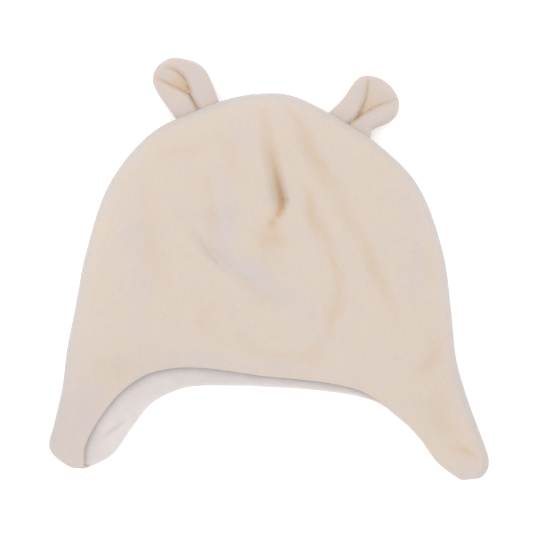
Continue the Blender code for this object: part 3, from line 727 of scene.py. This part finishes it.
def ear_object(name, finish):
    """A folded ear, caught in the crown seam."""
    ear = dict(zip(EAR_COLUMNS, EARS[name]))
    points, painted_fold_shade = ear_surface(name)
    turn = math.radians(ear["lean_deg"])
    x, y = points[..., 0].copy(), points[..., 1].copy()
    base_x, base_y = place(ear["x"], ear["y"])
    points[..., 0] = base_x + x * math.cos(turn) - y * math.sin(turn)
    points[..., 1] = base_y + x * math.sin(turn) + y * math.cos(turn)
    # Painted shadow: a darker line on the ear where it leaves the crown seam
    seam = cuts("front")[0]
    offset = points[..., None, :2] - seam
    gap = np.sqrt((offset**2).sum(-1).min(-1))
    sewn = EAR_SEAM_SHADOW_STRENGTH * np.exp(-((gap / EAR_SEAM_SHADOW_REACH) ** 2))
    # painted shade in the creases and at the seam, and painted sheen outside the creases
    tones = {"painted_fold_shade": np.maximum(painted_fold_shade, sewn), "painted_sheen": EAR_SHEEN * (1 - painted_fold_shade)}
    obj = grid_object(name + "_velour", points, True, tones)
    obj.data.materials.append(finish)
    return obj


class Nodes:
    """Short calls for the nodes of one material."""

    def __init__(self, name):
        self.material = bpy.data.materials.new(name)
        self.material.use_nodes = True
        self.tree = self.material.node_tree
        self.shader = self.tree.nodes["Principled BSDF"]
        self.place = self.add("ShaderNodeTexCoord").outputs["Object"]

    def add(self, kind, inputs=(), **settings):
        node = self.tree.nodes.new(kind)
        for key, value in settings.items():
            setattr(node, key, value)
        for key, value in dict(inputs).items():
            self.put(node.inputs[key], value)
        return node

    def put(self, socket, value):
        if isinstance(value, bpy.types.NodeSocket):
            self.tree.links.new(value, socket)
        else:
            socket.default_value = value

    def noise(self, scale, detail=2.0, roughness=0.5, stretch=(1, 1, 1)):
        spot = self.add("ShaderNodeMapping", {"Vector": self.place, "Scale": stretch}).outputs[0]
        inputs = {"Vector": spot, "Scale": scale, "Detail": detail, "Roughness": roughness}
        return self.add("ShaderNodeTexNoise", inputs).outputs["Fac"]

    def ramp(self, value, low, high, out_low=0.0, out_high=1.0):
        inputs = {0: value, 1: low, 2: high, 3: out_low, 4: out_high}
        return self.add("ShaderNodeMapRange", inputs, interpolation_type="SMOOTHSTEP").outputs[0]

    def mix(self, factor, first, second, kind="MIX"):
        node = self.add("ShaderNodeMix", data_type="RGBA", blend_type=kind)
        self.put(node.inputs[0], factor)
        self.put(node.inputs[6], first)
        self.put(node.inputs[7], second)
        return node.outputs[2]

    def attribute(self, name):
        return self.add("ShaderNodeAttribute", attribute_name=name).outputs["Fac"]

    def maths(self, operation, first, second):
        return self.add("ShaderNodeMath", {0: first, 1: second}, operation=operation).outputs[0]

    def bump(self, height, distance, strength=1.0, normal=None):
        inputs = {"Height": height, "Distance": distance, "Strength": strength}
        if normal:
            inputs["Normal"] = normal
        return self.add("ShaderNodeBump", inputs).outputs[0]

    def finished(self, inputs):
        for key, value in inputs.items():
            self.put(self.shader.inputs[key], value)
        return self.material


def velour():
    """Peach cream velour: short soft pile with mottled tone, painted sheen where the pile lies the
    other way, painted shade, warmer and deeper, in its folds, and painted sheen and shade along
    its seams.
    """
    n = Nodes("peach_cream_velour")
    warm = (0.700, 0.597, 0.522, 1)
    yellow = (0.694, 0.596, 0.496, 1)
    # pale is the painted sheen colour, paler and cooler
    pale = (0.662, 0.580, 0.550, 1)
    # tan and deep are painted shade colours for the folds and the dart
    fold_shade_tan = (0.680, 0.546, 0.424, 1)
    deep = (0.570, 0.380, 0.245, 1)
    # rim is the painted sheen and shade colour along the seams, greyer and darker
    rim = (0.580, 0.545, 0.542, 1)
    tuft = (0.93, 0.90, 0.87, 1)
    patches = n.ramp(n.noise(95, 3, 0.6), 0.35, 0.68)
    wisps = n.ramp(n.noise(420, 3, 0.6, (1.0, 0.45, 1.0)), 0.3, 0.7)
    wales = n.noise(340, 1, 0.5, (1.0, 0.06, 1.0))
    # painted sheen from the mesh, mixed with the pile's own mottled tone
    sheen_and_mottle = n.attribute("painted_sheen")
    for pattern, strength in ((patches, 0.42), (wisps, 0.12), (wales, 0.20)):
        sheen_and_mottle = n.maths("ADD", sheen_and_mottle, n.maths("MULTIPLY", pattern, strength))
    colour = n.mix(n.ramp(n.noise(60, 2, 0.6), 0.42, 0.70), warm, yellow)
    colour = n.mix(n.ramp(sheen_and_mottle, 0.20, 1.25), colour, pale)
    # painted shade: tan in shallow folds, deep in the deepest
    fold = n.attribute("painted_fold_shade")
    colour = n.mix(n.ramp(fold, 0.0, 0.45), colour, fold_shade_tan)
    colour = n.mix(n.ramp(fold, 0.40, 1.0), colour, deep)
    # painted sheen and shade along the seams
    colour = n.mix(n.attribute("rim_sheen_and_shade"), colour, rim)
    tufts = n.ramp(n.noise(1500, 3, 0.7), 0.42, 0.68, 0.0, 0.5)
    pile = n.bump(n.noise(2600, 2, 0.6), 0.00026, 0.9)
    inputs = {
        "Base Color": n.mix(tufts, colour, tuft, "MULTIPLY"),
        "Roughness": n.ramp(wisps, 0.0, 1.0, 0.82, 0.96),
        "Specular IOR Level": 0.15,
        "Sheen Weight": 0.45,
        "Sheen Roughness": 0.45,
        "Sheen Tint": (0.93, 0.95, 1.0, 1),
        "Normal": n.bump(n.noise(520, 3, 0.55, (1.0, 0.5, 1.0)), 0.0005, 0.65, pile),
    }
    return n.finished(inputs)


def jersey():
    """Off-white cotton jersey with a fine rib."""
    n = Nodes("off_white_jersey")
    light = (0.750, 0.692, 0.680, 1)
    shade = (0.718, 0.658, 0.644, 1)
    groove = (0.64, 0.60, 0.58, 1)
    # crease is the painted shade colour for the lining's crease
    crease = (0.60, 0.53, 0.52, 1)
    cloudy = n.ramp(n.noise(120, 3, 0.6), 0.3, 0.7)
    knit = {"Vector": n.place, "Scale": 420.0, "Distortion": 1.2, "Detail": 1.0, "Detail Scale": 3.0}
    ribs = n.add("ShaderNodeTexWave", knit, bands_direction="X").outputs["Fac"]
    colour = n.mix(cloudy, light, shade)
    colour = n.mix(n.ramp(ribs, 0.0, 1.0, 0.07, 0.0), colour, groove)
    inputs = {
        "Base Color": n.mix(n.attribute("painted_fold_shade"), colour, crease),
        "Roughness": n.ramp(cloudy, 0, 1, 0.80, 0.92),
        "Specular IOR Level": 0.2,
        "Sheen Weight": 0.15,
        "Normal": n.bump(ribs, 0.0002, 0.3, n.bump(n.noise(1800, 2), 0.0001, 0.5)),
    }
    return n.finished(inputs)


def paper():
    """The plain pale floor."""
    n = Nodes("pale_paper")
    inputs = {
        "Base Color": n.mix(n.noise(30, 2), (0.93, 0.93, 0.93, 1), (0.95, 0.95, 0.95, 1)),
        "Roughness": 0.9,
        "Specular IOR Level": 0.0,
        "Emission Color": (1, 1, 1, 1),
        "Emission Strength": FLOOR_GLOW,
    }
    return n.finished(inputs)


def camera():
    data = bpy.data.cameras.new("camera")
    obj = bpy.data.objects.new("camera", data)
    bpy.context.scene.collection.objects.link(obj)
    obj.location = (0, CAMERA_Y, CAMERA_HEIGHT)
    frame_width = FRAME_PIXELS * METRES_PER_PIXEL
    data.sensor_width = SENSOR
    data.lens = SENSOR * (CAMERA_HEIGHT - CROWN_SEAM_HEIGHT) / frame_width
    data.clip_end = CLIP_END
    bpy.context.scene.camera = obj


def soft_box():
    """A wide round light that faces the hat."""
    data = bpy.data.lights.new("soft_box", "AREA")
    data.shape = "DISK"
    data.size = SOFT_BOX_SIZE
    data.energy = SOFT_BOX_WATTS
    obj = bpy.data.objects.new("soft_box", data)
    bpy.context.scene.collection.objects.link(obj)
    obj.location = SOFT_BOX_PLACE
    obj.rotation_euler = (-Vector(SOFT_BOX_PLACE)).to_track_quat("-Z", "Y").to_euler()


def studio():
    """Soft light from all round, and a soft box from the upper left."""
    world = bpy.data.worlds.new("studio")
    world.use_nodes = True
    background = world.node_tree.nodes["Background"]
    background.inputs["Color"].default_value = (1, 1, 1, 1)
    background.inputs["Strength"].default_value = SKY_STRENGTH
    bpy.context.scene.world = world
    bpy.context.scene.view_settings.view_transform = "Standard"
    soft_box()


def floor():
    bpy.ops.mesh.primitive_plane_add(size=FLOOR_SIZE)
    obj = bpy.context.object
    obj.name = "floor"
    obj.data.materials.append(paper())


def main():
    camera()
    studio()
    floor()
    pile, knit = velour(), jersey()
    pieces = {
        "front_panel": panel("velour_front", front_surface, 1, FRONT_MEET, pile),
        "back_panel": panel("velour_back", back_surface, -1, BACK_MEET, pile),
        "front_lining": lining("jersey_front", front_surface, 1, FRONT_MEET, knit),
        "back_lining": lining("jersey_back", back_surface, -1, BACK_MEET, knit),
    }
    pieces.update({name: ear_object(name, pile) for name in EARS})
    for node, obj in pieces.items():
        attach(obj, "root")
        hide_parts(node)


main()
